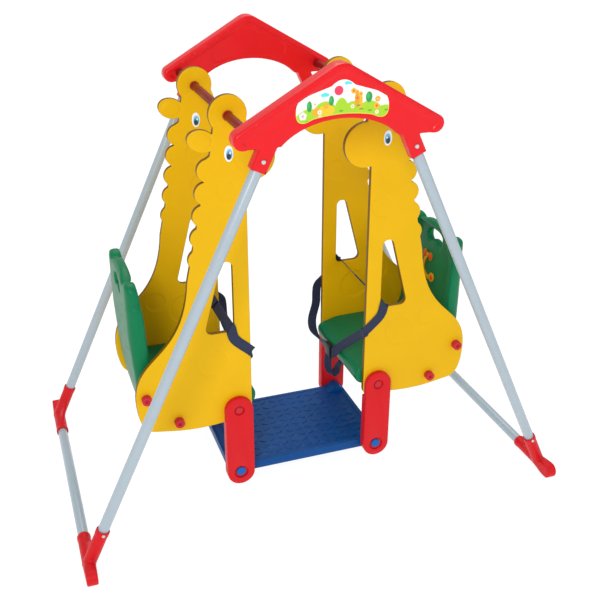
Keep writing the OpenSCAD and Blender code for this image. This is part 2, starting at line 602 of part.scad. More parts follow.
// ---------- belts ----------
// Flat strap through centre points p, with the strap's width laid along w at each point
module strap(p, w, width) {
  n = len(p);
  t = [for (i = [0 : n - 1]) unit(p[min(i + 1, n - 1)] - p[max(i - 1, 0)])];
  u = [for (i = [0 : n - 1]) unit(w[i] - (w[i] * t[i]) * t[i])];
  v = [for (i = [0 : n - 1]) cross(t[i], u[i])];
  pts = [for (i = [0 : n - 1]) for (c = [[-1, -1], [1, -1], [1, 1], [-1, 1]])
    p[i] + c[0] * u[i] * width / 2 + c[1] * v[i] * belt_t / 2];
  faces = concat([[0, 1, 2], [0, 2, 3]], [for (i = [0 : n - 2]) for (k = [0 : 3]) for (h = [0, 1])
    let (a = 4 * i + k, b = 4 * i + (k + 1) % 4) h == 0 ? [a, a + 4, b + 4] : [a, b + 4, b]],
    [[4 * n - 1, 4 * n - 2, 4 * n - 3], [4 * n - 1, 4 * n - 3, 4 * n - 4]]);
  polyhedron(points = pts, faces = faces, convexity = 8);
}

// Lap belt, drawn for the right-hand seat. It crosses the seat between the neck openings, with its two
// ends lapped in the middle, then runs down over the front post and round its edge to the buckle.
function crossing(s) = [for (y = [-20, 20, 60, 110, in_y - 3])
  [post_c, s * y, post_z - 5 * (1 - pow(y / in_y, 2))] + (y < 60 ? s * lap_off : [0, 0, 0])];
function outer_run(s) = [[post_c, s * (out_y - 2), post_z + 0.5], [post_c - 2.2, s * out_run_y, post_z - 3],
  [post_c - 12, s * out_run_y, post_z - 36], [panel_in_x + 8, s * out_run_y, post_z - 70]];
function front_end() = [[panel_in_x - 1.6, -out_run_y + 0.8, post_z - 79],
  [panel_in_x - 2.8, -out_y + 3, post_z - 83], [panel_in_x - 2.8, -in_y - 3, post_z - 93],
  [panel_in_x - 5, -in_y + 12, post_z - 103], [lip_x, -98, pan_z + 46], [lip_x - 12, -58, pan_z + 8],
  [lip_x - 20.5, -34, pan_z - 22], buckle_at + [0, -23, 0]];
function rear_end() = [[panel_in_x - 10, out_run_y, post_z - 88], [panel_in_x - 14, out_run_y, post_z - 112],
  [panel_in_x - 16, out_run_y - 2, post_z - 150], [panel_in_x - 31, out_y - 8, post_z - 200],
  [panel_in_x - 35, in_y - 16, pan_z - 35], [lip_x - 19, 84, pan_z - 40],
  [lip_x - 21, 36, pan_z - 29], buckle_at + [0, 23, 0]];
module lap_belt() strap(
  spline(concat(crossing(-1), outer_run(-1), front_end(), [buckle_at], [for (k = [7 : -1 : 0]) rear_end()[k]],
    [for (k = [3 : -1 : 0]) outer_run(1)[k]], [for (k = [4 : -1 : 0]) crossing(1)[k]]), 4),
  spline(concat([for (k = [0 : 5]) -down], [across, across, across], [[-0.6, 0, 0.75], [0, 0.5, 0.8],
    [0, 0.7, 0.7], [0, 0.7, 0.7], [0, 0.6, 0.8], [0, 0.4, 0.9], [0, 0, 1], [0, 0, 1]], [[0, 0, 1]],
    [[0, 0, 1], [0, 0, 1], [-0.6, 0, 0.8], [-1, 0, 0.3], [-1, 0, 0], [-1, 0, 0], [-1, 0, 0.2], [-0.9, 0, 0.5]],
    [across, across, across], [for (k = [0 : 5]) -down]), 4), belt_w);
module lap_belt_right() color("#1E2547") lap_belt();
module lap_belt_left() color("#1E2547") mirror([1, 0, 0]) lap_belt();
module crotch_belt() {
  p = spline([buckle_at + [0, 0, -20], buckle_at + [-3, 0, -38], buckle_at + [-2, 0, -66],
    buckle_at + [9, 0, -89], buckle_at + [24, 0, -80], buckle_at + [35, 0, -56],
    [lip_x + 29, 0, seat_under_z + 26.4], [lip_x + 41, 0, seat_under_z + 20.3],
    [lip_x + 56, 0, seat_under_z + 12.6]], 5);
  strap(p, spline([for (k = [0 : 8]) k < 5 ? [0.5, -0.86, 0] : [0, -1, 0]], 5), belt_w);
}
module crotch_belt_right() color("#1E2547") crotch_belt();
module crotch_belt_left() color("#1E2547") mirror([1, 0, 0]) crotch_belt();
module buckle() translate(buckle_at) difference() {
  cube(buckle_size, center = true);
  cube([belt_t + 1.6, 60, belt_w + 2], center = true);
}
module buckle_right() color("#17181A") buckle();
module buckle_left() color("#17181A") mirror([1, 0, 0]) buckle();

gable_front();
gable_rear();
print_front();
print_rear();
leg_front_left();
leg_front_right();
leg_rear_left();
leg_rear_right();
floor_tube_left();
floor_tube_right();
foot_front_left();
foot_front_right();
foot_rear_left();
foot_rear_right();
gable_bolts();
foot_screws();
rod_left();
rod_right();
spacer_front_left();
spacer_mid_left();
spacer_rear_left();
spacer_front_right();
spacer_mid_right();
spacer_rear_right();
giraffe_front_left();
giraffe_rear_left();
giraffe_front_right();
giraffe_rear_right();
bushes_left();
bushes_right();
eyes_left();
eyes_right();
seat_left();
seat_right();
motif_left();
motif_right();
seat_bolts_left();
seat_bolts_right();
link_bolts_left();
link_bolts_right();
link_front_left();
link_rear_left();
link_front_right();
link_rear_right();
lap_belt_left();
lap_belt_right();
crotch_belt_left();
crotch_belt_right();
buckle_left();
buckle_right();
footrest();
footrest_pegs();
footrest_washers();
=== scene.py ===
"""Two-seat glider swing for toddlers: the looks of every piece, laid out as an add-on."""
import json
import math
import bmesh
import bpy
import numpy as np
from mathutils import Matrix, Vector, geometry

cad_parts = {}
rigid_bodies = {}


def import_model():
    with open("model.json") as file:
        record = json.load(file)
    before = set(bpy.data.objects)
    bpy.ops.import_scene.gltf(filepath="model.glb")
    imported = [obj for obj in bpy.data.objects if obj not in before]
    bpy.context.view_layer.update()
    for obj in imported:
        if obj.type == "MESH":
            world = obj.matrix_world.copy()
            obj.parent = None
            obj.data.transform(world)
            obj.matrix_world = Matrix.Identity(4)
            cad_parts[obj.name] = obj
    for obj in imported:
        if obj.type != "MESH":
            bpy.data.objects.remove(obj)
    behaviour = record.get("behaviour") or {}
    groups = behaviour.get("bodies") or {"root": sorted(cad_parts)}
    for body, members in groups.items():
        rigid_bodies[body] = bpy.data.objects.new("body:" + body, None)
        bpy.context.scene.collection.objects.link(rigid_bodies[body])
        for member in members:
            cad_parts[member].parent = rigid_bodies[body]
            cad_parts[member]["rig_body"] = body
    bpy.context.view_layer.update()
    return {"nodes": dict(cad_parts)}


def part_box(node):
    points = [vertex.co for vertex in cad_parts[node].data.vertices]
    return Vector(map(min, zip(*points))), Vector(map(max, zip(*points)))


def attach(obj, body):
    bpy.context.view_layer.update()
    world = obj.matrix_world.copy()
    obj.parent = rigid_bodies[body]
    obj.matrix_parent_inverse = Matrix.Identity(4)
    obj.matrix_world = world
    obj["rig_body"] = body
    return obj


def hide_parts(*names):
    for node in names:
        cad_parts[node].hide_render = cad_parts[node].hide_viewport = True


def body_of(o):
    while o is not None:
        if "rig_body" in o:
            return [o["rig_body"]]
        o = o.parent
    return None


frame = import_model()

bl_info = {
    "name": "Glider swing",
    "version": (1, 0, 0),
    "blender": (4, 5, 0),
    "location": "3D View > Sidebar > Glider swing",
    "description": "Builds the moulded panels, seats, roof, belts and stage of a toddler glider swing",
    "category": "Object",
}

MM = 0.001
# Sizes shared with the CAD, in mm: the panels' faces, front edge and neck opening, and the seats' sitting
# surface, underside, front lip and rear face
OUT_Y, IN_Y, PANEL_X, OPEN_Z = 175.0, 159.0, 166.0, 513.0
PAN_Z, UNDER_Z, LIP_X, SEAT_REAR_X = 332.0, 232.0, 149.0, 480.0


# ---------------------------------------------------------------- colour and nodes
def linear(code):
    """An sRGB hex colour as linear RGB."""
    parts = [int(code[i:i + 2], 16) / 255 for i in (1, 3, 5)]
    return tuple(c / 12.92 if c <= 0.04045 else ((c + 0.055) / 1.055) ** 2.4 for c in parts)


def add(tree, kind, settings=None, links=None):
    """One node, with its settings (attributes or input values) and its incoming links."""
    node = tree.nodes.new(kind)
    for key, value in (settings or {}).items():
        if isinstance(key, str) and hasattr(node, key):
            setattr(node, key, value)
        else:
            node.inputs[key].default_value = value
    for key, source in (links or {}).items():
        tree.links.new(source, node.inputs[key])
    return node


def blank(name):
    """A new material with only its output node; returns the material and its tree."""
    mat = bpy.data.materials.new(name)
    mat.use_nodes = True
    mat.node_tree.nodes.clear()
    return mat, mat.node_tree


def finish_material(tree, shader):
    add(tree, "ShaderNodeOutputMaterial", links={"Surface": shader.outputs["BSDF"]})


def per_metre(size_mm):
    """Texture scale whose repeat is that many millimetres."""
    return 1 / (size_mm * MM)


def two_tones(tree, factor, low, high):
    """Mixes two colours by a factor."""
    mix = add(tree, "ShaderNodeMix", {"data_type": "RGBA", 6: (*low, 1), 7: (*high, 1)}, {0: factor})
    return mix.outputs[2]


def shade(colour, k):
    return tuple(min(1.0, c * k) for c in colour)


def moulded(name, colour, rough, mottle_mm=70, spread=0.06, peel_mm=2.2, peel=0.12, edge=None, coat=0.0):
    """Moulded plastic: slow drifts of tone from the melt, haze in the gloss and a fine orange peel; with an
    edge colour, painted shade darkens the narrow sides.
    """
    mat, tree = blank(name)
    place = add(tree, "ShaderNodeTexCoord").outputs["Object"]
    drift = add(tree, "ShaderNodeTexNoise", {"Scale": per_metre(mottle_mm), "Detail": 3.0, "Roughness": 0.55},
                {"Vector": place})
    tone = two_tones(tree, drift.outputs["Fac"], shade(colour, 1 - spread), shade(colour, 1 + spread))
    if edge:
        # painted shade: the narrow sides, which face away from the front and the back, are mixed towards the
        # edge colour to stand in for the shade that falls on them
        facing = add(tree, "ShaderNodeNewGeometry").outputs["Normal"]
        side = add(tree, "ShaderNodeSeparateXYZ", links={0: facing})
        flat = add(tree, "ShaderNodeMath", {"operation": "ABSOLUTE"}, {0: side.outputs["Y"]})
        painted_side_shade = add(tree, "ShaderNodeMapRange",
                    {"From Min": 0.75, "From Max": 0.25, "To Min": 0.0, "To Max": 1.0,
                     "interpolation_type": "SMOOTHSTEP"}, {0: flat.outputs[0]})
        mix = add(tree, "ShaderNodeMix", {"data_type": "RGBA", 7: (*edge, 1)},
                  {0: painted_side_shade.outputs[0], 6: tone})
        tone = mix.outputs[2]
    haze = add(tree, "ShaderNodeTexNoise", {"Scale": per_metre(22), "Detail": 4.0, "Roughness": 0.6},
               {"Vector": place})
    gloss = add(tree, "ShaderNodeMapRange", {"From Min": 0.3, "From Max": 0.7, "To Min": rough - 0.05,
                                             "To Max": rough + 0.07}, {0: haze.outputs["Fac"]})
    skin = add(tree, "ShaderNodeTexNoise", {"Scale": per_metre(peel_mm), "Detail": 2.0}, {"Vector": place})
    bump = add(tree, "ShaderNodeBump", {"Strength": peel, "Distance": 0.4 * MM},
               {"Height": skin.outputs["Fac"]})
    shader = add(tree, "ShaderNodeBsdfPrincipled",
                 {"IOR": 1.51, "Specular IOR Level": 0.18, "Coat Weight": coat, "Coat Roughness": 0.15},
                 {"Base Color": tone, "Roughness": gloss.outputs[0], "Normal": bump.outputs[0]})
    finish_material(tree, shader)
    return mat


def painted_steel(name, colour, rough):
    """Sprayed and stoved paint on tube: even colour, a soft sheen, a trace of chalking and tiny runs."""
    mat, tree = blank(name)
    place = add(tree, "ShaderNodeTexCoord").outputs["Object"]
    chalk = add(tree, "ShaderNodeTexNoise", {"Scale": per_metre(45), "Detail": 5.0, "Roughness": 0.65},
                {"Vector": place})
    tone = two_tones(tree, chalk.outputs["Fac"], shade(colour, 0.93), shade(colour, 1.06))
    scuff = add(tree, "ShaderNodeTexNoise", {"Scale": per_metre(6), "Detail": 6.0, "Roughness": 0.7},
                {"Vector": place})
    mask = add(tree, "ShaderNodeMapRange", {"From Min": 0.66, "From Max": 0.74}, {0: scuff.outputs["Fac"]})
    worn = add(tree, "ShaderNodeMix", {"data_type": "RGBA", 7: (*shade(colour, 0.62), 1)},
               {0: mask.outputs[0], 6: tone})
    peel = add(tree, "ShaderNodeTexNoise", {"Scale": per_metre(1.8), "Detail": 1.0}, {"Vector": place})
    bump = add(tree, "ShaderNodeBump", {"Strength": 0.08, "Distance": 0.3 * MM},
               {"Height": peel.outputs["Fac"]})
    shader = add(tree, "ShaderNodeBsdfPrincipled", {"Roughness": rough, "IOR": 1.5, "Coat Weight": 0.2,
                                                    "Coat Roughness": 0.2},
                 {"Base Color": worn.outputs[2], "Normal": bump.outputs[0]})
    finish_material(tree, shader)
    return mat


def zinc(name, colour, rough):
    """Zinc-plated steel, tumbled: bright grey metal with a faint spangle in its roughness."""
    mat, tree = blank(name)
    place = add(tree, "ShaderNodeTexCoord").outputs["Object"]
    spangle = add(tree, "ShaderNodeTexVoronoi", {"Scale": per_metre(2.5)}, {"Vector": place})
    gloss = add(tree, "ShaderNodeMapRange", {"To Min": rough - 0.07, "To Max": rough + 0.1},
                {0: spangle.outputs["Distance"]})
    tone = two_tones(tree, spangle.outputs["Distance"], shade(colour, 0.9), colour)
    shader = add(tree, "ShaderNodeBsdfPrincipled", {"Metallic": 1.0},
                 {"Base Color": tone, "Roughness": gloss.outputs[0]})
    finish_material(tree, shader)
    return mat


def webbing(name, colour):
    """Woven polyester webbing: ribs and a herringbone, drawn as coarse as 3 mm so that they show."""
    mat, tree = blank(name)
    place = add(tree, "ShaderNodeUVMap", {"uv_map": "strap_mm"}).outputs["UV"]
    both = add(tree, "ShaderNodeSeparateXYZ", links={0: place})
    waves = []
    for socket, pitch in (("Y", 3.0), ("X", 2.8)):
        turn = add(tree, "ShaderNodeMath", {"operation": "MULTIPLY", 1: 2 * math.pi / pitch},
                   {0: both.outputs[socket]})
        waves.append(add(tree, "ShaderNodeMath", {"operation": "SINE"}, {0: turn.outputs[0]}).outputs[0])
    weave = add(tree, "ShaderNodeMath", {"operation": "MULTIPLY"}, {0: waves[0], 1: waves[1]})
    height = add(tree, "ShaderNodeMapRange", {"From Min": -1.0, "From Max": 1.0}, {0: weave.outputs[0]})
    tone = two_tones(tree, height.outputs[0], shade(colour, 0.72), shade(colour, 1.3))
    bump = add(tree, "ShaderNodeBump", {"Strength": 0.6, "Distance": 0.6 * MM}, {"Height": height.outputs[0]})
    shader = add(tree, "ShaderNodeBsdfPrincipled",
                 {"Roughness": 0.62, "Sheen Weight": 0.12, "Sheen Roughness": 0.4,
                  "Sheen Tint": (0.35, 0.42, 0.7, 1.0)},
                 {"Base Color": tone, "Normal": bump.outputs[0]})
    finish_material(tree, shader)
    return mat


def printed_vinyl(name, rough):
    """Screen-printed vinyl: flat inks held in the mesh's own colours, dot grain and a clear overlaminate."""
    mat, tree = blank(name)
    inks = add(tree, "ShaderNodeVertexColor", {"layer_name": "inks"})
    place = add(tree, "ShaderNodeTexCoord").outputs["Object"]
    grain = add(tree, "ShaderNodeTexNoise", {"Scale": per_metre(3), "Detail": 3.0}, {"Vector": place})
    level = add(tree, "ShaderNodeMapRange", {"To Min": 0.94, "To Max": 1.04}, {0: grain.outputs["Fac"]})
    tone = add(tree, "ShaderNodeMix", {"data_type": "RGBA", "blend_type": "MULTIPLY", 0: 1.0},
               {6: inks.outputs["Color"], 7: level.outputs[0]})
    shader = add(tree, "ShaderNodeBsdfPrincipled",
                 {"Roughness": rough, "Coat Weight": 0.4, "Coat Roughness": 0.08},
                 {"Base Color": tone.outputs[2]})
    finish_material(tree, shader)
    return mat


# ---------------------------------------------------------------- meshes
def node_body(node):
    return body_of(frame["nodes"][node])[0]


def put(name, bm, material, node):
    """A finished bmesh as a piece that stands for a CAD node and rides on its body."""
    mesh = bpy.data.meshes.new(name)
    bm.to_mesh(mesh)
    bm.free()
    piece = bpy.data.objects.new(name, mesh)
    bpy.context.scene.collection.objects.link(piece)
    mesh.materials.append(material)
    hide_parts(node)
    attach(piece, node_body(node))
    return piece


def smooth_by_angle(bm, degrees):
    for face in bm.faces:
        face.smooth = True
    for edge in bm.edges:
        edge.smooth = not (edge.is_manifold and edge.calc_face_angle(0) > math.radians(degrees))


def softened(node, name, material, width, segments=3, crease=32):
    """The CAD shape with its moulded or turned edges rounded."""
    bm = bmesh.new()
    bm.from_mesh(frame["nodes"][node].data)
    bmesh.ops.remove_doubles(bm, verts=bm.verts, dist=0.01 * MM)
    bmesh.ops.dissolve_limit(bm, angle_limit=math.radians(0.6), verts=bm.verts, edges=bm.edges)
    sharp = [e for e in bm.edges if e.is_manifold and e.calc_face_angle(0) > math.radians(crease)]
    bmesh.ops.bevel(bm, geom=sharp, offset=width * MM, segments=segments, profile=0.5, affect="EDGES",
                    clamp_overlap=True)
    smooth_by_angle(bm, crease)
    return put(name, bm, material, node)


def remoulded(node, name, material, voxel, passes):
    """The CAD shape recast with the soft corners of a blow moulding: a fine remesh, then smoothing."""
    source = frame["nodes"][node].data.copy()
    work = bpy.data.objects.new("work", source)
    bpy.context.scene.collection.objects.link(work)
    remesh = work.modifiers.new("remesh", "REMESH")
    remesh.mode, remesh.voxel_size, remesh.adaptivity = "VOXEL", voxel * MM, 0.0
    soft = work.modifiers.new("soft", "SMOOTH")
    soft.factor, soft.iterations = 0.5, passes
    bpy.context.view_layer.update()
    mesh = bpy.data.meshes.new_from_object(work.evaluated_get(bpy.context.evaluated_depsgraph_get()))
    bm = bmesh.new()
    bm.from_mesh(mesh)
    bpy.data.objects.remove(work)
    for face in bm.faces:
        face.smooth = True
    return put(name, bm, material, node)


def section_loops(node, at):
    """Closed outlines, in mm (x, z), where the plane y = at cuts a CAD node."""
    bm = bmesh.new()
    bm.from_mesh(frame["nodes"][node].data)
    bmesh.ops.remove_doubles(bm, verts=bm.verts, dist=0.01 * MM)
    everything = bm.verts[:] + bm.edges[:] + bm.faces[:]
    bmesh.ops.bisect_plane(bm, geom=everything, plane_co=(0, at * MM, 0), plane_no=(0, 1, 0),
                           clear_inner=True, clear_outer=True)
    bmesh.ops.remove_doubles(bm, verts=bm.verts, dist=0.01 * MM)
    loops, left = [], set(bm.edges)
    while left:
        edge = min(left, key=lambda e: e.index)
        left.discard(edge)
        start, here = edge.verts
        chain = [start, here]
        while here != start:
            step = next((e for e in here.link_edges if e in left), None)
            if step is None:
                break
            left.discard(step)
            here = step.other_vert(here)
            chain.append(here)
        if len(chain) > 8 and chain[0] == chain[-1]:
            loops.append(np.array([(v.co.x / MM, v.co.z / MM) for v in chain[:-1]]))
    bm.free()
    return loops


def area(loop):
    x, z = loop[:, 0], loop[:, 1]
    return 0.5 * float(np.sum(x * np.roll(z, -1) - np.roll(x, -1) * z))


def evened(loop, step):
    """The loop walked at an even step, so that every edge has the same length."""
    closed = np.vstack([loop, loop[:1]])
    run = np.concatenate([[0], np.cumsum(np.linalg.norm(np.diff(closed, axis=0), axis=1))])
    count = max(20, int(round(run[-1] / step)))
    at = np.linspace(0, run[-1], count, endpoint=False)
    return np.stack([np.interp(at, run, closed[:, k]) for k in (0, 1)], axis=1)


def inward(loop):
    ahead = np.roll(loop, -1, axis=0) - np.roll(loop, 1, axis=0)
    ahead /= np.linalg.norm(ahead, axis=1)[:, None] + 1e-9
    return np.stack([-ahead[:, 1], ahead[:, 0]], axis=1)


def nearest(points, targets):
    """Distance from each point to the nearest target."""
    out = np.empty(len(points))
    for i in range(0, len(points), 2000):
        gap = points[i:i + 2000, None, :] - targets[None, :, :]
        out[i:i + 2000] = np.sqrt((gap ** 2).sum(2).min(1))
    return out


def inside(points, loops):
    """True where a point lies in the outline and not in a hole."""
    hit = np.zeros(len(points), bool)
    x, z = points[:, 0][:, None], points[:, 1][:, None]
    for loop in loops:
        a, b = loop, np.roll(loop, -1, axis=0)
        spans = (a[:, 1] > z) != (b[:, 1] > z)
        rise = np.where(np.abs(b[:, 1] - a[:, 1]) < 1e-9, 1e-9, b[:, 1] - a[:, 1])
        cross = a[:, 0] + (z - a[:, 1]) / rise * (b[:, 0] - a[:, 0])
        hit ^= (np.sum(spans & (x < cross), axis=1) % 2).astype(bool)
    return hit


TRIANGLE_RISE = 0.866  # height of an even-sided triangle over its side


def hexes(low, high, step):
    """Points of a staggered grid over a box."""
    out = []
    for k, z in enumerate(np.arange(low[1], high[1], step * TRIANGLE_RISE)):
        xs = np.arange(low[0] + (k % 2) * step / 2, high[0], step)
        out.append(np.stack([xs, np.full(len(xs), z)], axis=1))
    return np.vstack(out)


def relief_slab(loops, y_mid, half, rounding, height, fine_near, step=4.0, coarse=9.0, fine=3.0, rings=4):
    """A slab between y_mid - half and y_mid + half whose faces swell by height(points), with rounded edges.

    fine_near(points) is the distance to the nearest detail, where the face is meshed finely."""
    order = sorted(loops, key=lambda l: -abs(area(l)))
    shaped = []
    for k, loop in enumerate(order):
        size = abs(area(loop))
        even = evened(loop, min(step, math.sqrt(size) / 9))
        shaped.append(even if (area(even) > 0) == (k == 0) else even[::-1])
    bm = bmesh.new()
    rims = []
    for loop in shaped:
        normal = inward(loop)
        sides = []
        for sign in (-1, 1):
            rows = []
            for r in range(rings + 1):
                turn = math.pi / 2 * r / rings
                at = loop + normal * rounding * (1 - math.cos(turn))
                up = half + height(at) - rounding * (1 - math.sin(turn))
                rows.append([bm.verts.new((p[0] * MM, (y_mid + sign * h) * MM, p[1] * MM))
                             for p, h in zip(at, up)])
            sides.append(rows)
        rims.append(loop + normal * rounding)
        chain = sides[0][::-1] + sides[1]
        for lower, upper in zip(chain, chain[1:]):
            for i in range(len(loop)):
                j = (i + 1) % len(loop)
                bm.faces.new((lower[i], lower[j], upper[j], upper[i]))
    edge_points = np.vstack(rims)
    low, high = edge_points.min(0), edge_points.max(0)
    detail = hexes(low, high, fine)
    detail = detail[fine_near(detail) < 2.4 * fine]
    plain = hexes(low, high, coarse)
    plain = plain[fine_near(plain) >= 2.4 * fine]
    inner = np.vstack([detail, plain])
    inner = inner[inside(inner, rims)]
    inner = inner[nearest(inner, edge_points) > 0.55 * step]
    points = [Vector(p) for p in np.vstack([edge_points, inner])]
    edges, base = [], 0
    for rim in rims:
        edges += [(base + i, base + (i + 1) % len(rim)) for i in range(len(rim))]
        base += len(rim)
    verts, _, faces, *_ = geometry.delaunay_2d_cdt(points, edges, [], 0, 1e-4)
    flat = np.array([tuple(v) for v in verts])
    tris = np.array([f for f in faces if len(f) == 3])
    tris = tris[inside(flat[tris].mean(1), rims)]
    up = half + height(flat)
    for sign in (-1, 1):
        layer = [bm.verts.new((p[0] * MM, (y_mid + sign * h) * MM, p[1] * MM)) for p, h in zip(flat, up)]
        for a, b, c in tris:
            bm.faces.new((layer[a], layer[b], layer[c]))
    bmesh.ops.remove_doubles(bm, verts=bm.verts, dist=0.02 * MM)
    bmesh.ops.recalc_face_normals(bm, faces=bm.faces)
    for face in bm.faces:
        face.smooth = True
    return bm


def arc(cx, cz, rx, rz, start, end, count=40):
    turn = np.radians(np.linspace(start, end, count))
    return np.stack([cx + rx * np.cos(turn), cz + rz * np.sin(turn)], axis=1)


def ease(value, low, high):
    """Smooth step from 0 at low to 1 at high."""
    t = np.clip((value - low) / (high - low), 0, 1)
    return t * t * (3 - 2 * t)


# ---------------------------------------------------------------- sizes and colours a user would change
def colour_prop(name, text, code):
    return bpy.props.FloatVectorProperty(name=name, description=text, subtype="COLOR", size=3, min=0, max=1,
                                         default=linear(code))


def length_prop(name, text, size_mm, low_mm, high_mm):
    return bpy.props.FloatProperty(name=name, description=text, default=size_mm * MM, min=low_mm * MM,
                                   max=high_mm * MM, unit="LENGTH")


class SwingColours(bpy.types.PropertyGroup):
    """Colours of the plastics, paint and webbing."""

    roof: colour_prop("Roof red", "Glossy red of the two gables", "#E2141F")
    panel: colour_prop("Panel yellow", "Satin yellow of the giraffe panels", "#E6B400")
    # painted shade: the darker tone laid on the panels' narrow sides in place of the shade that falls on them
    panel_side_shade: colour_prop("Panel edge", "Painted shade of the panels' narrow sides", "#7A5506")
    seat: colour_prop("Seat green", "Green of the seat shells", "#00764A")
    deck: colour_prop("Footrest blue", "Blue of the footrest", "#00488C")
    link: colour_prop("Link red", "Red of links and feet", "#D4161F")
    cap: colour_prop("Cap red", "Rose red of the bolt caps", "#C42B38")
    sleeve: colour_prop("Sleeve red", "Dark red of the tubes on the rods", "#7E0E12")
    paint: colour_prop("Leg paint", "Grey-blue paint of the legs", "#A9B8C2")
    strap: colour_prop("Webbing navy", "Navy of the belts", "#142244")


class SwingSizes(bpy.types.PropertyGroup):
    """Sizes of the moulded detail, none of which changes the frame."""

    panel_round: length_prop("Panel edge radius", "Rounding of the panels' edges", 2.5, 0.5, 6)
    roof_round: length_prop("Roof edge radius", "Rounding of the gables' edges", 6, 1, 12)
    emboss: length_prop("Emboss depth", "Depth of the spots pressed into the panels", 1.3, 0, 4)
    link_round: length_prop("Link edge radius", "Rounding of the links' edges", 2.5, 0.5, 6)


def looks():
    return bpy.context.scene.swing_colours


def sizes():
    return bpy.context.scene.swing_sizes


def stock(key):
    """The shared material of that key, made on first use."""
    tone = looks()
    makers = {
        # blow-moulded polyethylene with a high gloss: soft bright highlights along the rims
        "roof": lambda: moulded("blow_moulded_polyethylene_red", tone.roof, 0.36, spread=0.07, coat=0.15),
        # blow-moulded polyethylene, satin: even yellow, with painted shade darkening the narrow sides
        "panel": lambda: moulded("blow_moulded_polyethylene_yellow", tone.panel, 0.48, mottle_mm=120,
                                 edge=tone.panel_side_shade),
        # blow-moulded polyethylene: deep green with brighter, shinier rolls
        "seat": lambda: moulded("blow_moulded_polyethylene_green", tone.seat, 0.38, spread=0.1, peel=0.2),
        # injection-moulded polypropylene: even blue with a low sheen
        "deck": lambda: moulded("injection_moulded_polypropylene_blue", tone.deck, 0.42, spread=0.09),
        # injection-moulded polyethylene: red with a soft sheen
        "link": lambda: moulded("injection_moulded_polyethylene_red", tone.link, 0.42),
        # soft vinyl caps: duller, rosier red
        "cap": lambda: moulded("moulded_vinyl_cap_red", tone.cap, 0.5, spread=0.1),
        # extruded vinyl sleeve: dark red, a little glossy
        "sleeve": lambda: moulded("extruded_vinyl_sleeve_red", tone.sleeve, 0.4),
        # moulded nylon pivot pegs
        "peg": lambda: moulded("moulded_nylon_blue", linear("#1560B4"), 0.35),
        # moulded nylon washers, unpigmented
        "washer": lambda: moulded("moulded_nylon_natural", linear("#E9EAE6"), 0.4),
        # moulded acetal buckle
        "buckle": lambda: moulded("moulded_acetal_black", linear("#15161A"), 0.4, spread=0.2),
        # moulded motifs on the seats
        "motif_yellow": lambda: moulded("moulded_polyethylene_amber", linear("#E2A414"), 0.42),
        "motif_orange": lambda: moulded("moulded_polyethylene_orange", linear("#E8580F"), 0.42),
        "paint": lambda: painted_steel("stoved_paint_on_steel_tube", tone.paint, 0.33),
        "zinc": lambda: zinc("zinc_plated_steel", linear("#D5D8DA"), 0.32),
        "webbing": lambda: webbing("woven_polyester_webbing", tone.strap),
        "print": lambda: printed_vinyl("screen_printed_vinyl", 0.3),
    }
    if key not in STOCK:
        STOCK[key] = makers[key]()
    return STOCK[key]


STOCK = {}


# ---------------------------------------------------------------- giraffe panels
def giraffe_details(side):
    """Spots pressed into a panel (x, z, radius), its creases and the middle of its ear, in mm.

    side is 1 on the right and -1 on the left."""
    spots = [(272, 430, 44), (355, 466, 28), (215, 902, 26), (203, 808, 30)]
    cheek = arc(150, 985, 42, 46, -62, 52)
    jaw = arc(272, 1092, 62, 42, 216, 290)
    shoulder = arc(262, 812, 260, 420, 196, 214)
    place = np.array([side, 1.0])
    return ([(np.array([x, z]) * place, r) for x, z, r in spots], [c * place for c in (cheek, jaw, shoulder)],
            np.array([275.0, 1027.0]) * place)


# Relief of a panel's faces, in mm
SPOT_EDGE = 2.5
CREASE_DEPTH, CREASE_WIDTH = 0.9, 2.6
EAR_RISE, EAR_TOP, EAR_FOOT, EAR_STRETCH = 1.2, 16, 21, 1.22
EAR_GROOVE, EAR_GROOVE_WIDTH = 22.5, 2.4


def giraffe_piece(node, material, round_mm, depth_mm):
    low, high = (Vector(c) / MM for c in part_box(node))
    y_mid, half = (low.y + high.y) / 2, (high.y - low.y) / 2
    spots, creases, ear = giraffe_details(1 if low.x > 0 else -1)
    lines = np.vstack(creases)

    def ear_ring(p):
        return np.linalg.norm((p - ear) * np.array([1 / EAR_STRETCH, 1.0]), axis=1)

    def height(p):
        out = np.zeros(len(p))
        for centre, radius in spots:
            away = np.linalg.norm(p - centre, axis=1)
            out -= depth_mm * (1 - ease(away, radius - SPOT_EDGE, radius + SPOT_EDGE))
        out -= CREASE_DEPTH * np.exp(-(nearest(p, lines) / CREASE_WIDTH) ** 2)
        ring = ear_ring(p)
        out += EAR_RISE * (1 - ease(ring, EAR_TOP, EAR_FOOT))
        out -= CREASE_DEPTH * np.exp(-((ring - EAR_GROOVE) / EAR_GROOVE_WIDTH) ** 2)
        return out * ease(nearest(p, outline), round_mm * 0.9, round_mm + 6)

    def fine_near(p):
        gaps = [np.abs(np.linalg.norm(p - centre, axis=1) - radius) for centre, radius in spots]
        return np.minimum.reduce(gaps + [nearest(p, lines), np.abs(ear_ring(p) - (EAR_FOOT - 1))])

    loops = section_loops(node, y_mid)
    outline = np.vstack([evened(loop, 3.0) for loop in loops])
    bm = relief_slab(loops, y_mid, half, round_mm, height, fine_near)
    return put(f"{node}_moulding", bm, material, node)


# ---------------------------------------------------------------- gables
# Fall of the roof edges per mm from the middle, a drop that clears them, and where the eaves begin, in mm
ROOF_SLOPE, ROOF_BAND, EAVE_X = 0.58, 34, 240
# The rim along the roof, its crown, and the depth of the recess for the printed panel, in mm
RIM_RISE, RIM_WIDTH, RIM_CROWN, RECESS = 4.0, 22.0, 1.2, 1.2
# How far inside the middle of a gable its outline is read, past the leg bores, and the smallest outline
# that shows on the face, which leaves out the blind holes for the rods
READ_IN, LEAST_AREA = 16.5, 400


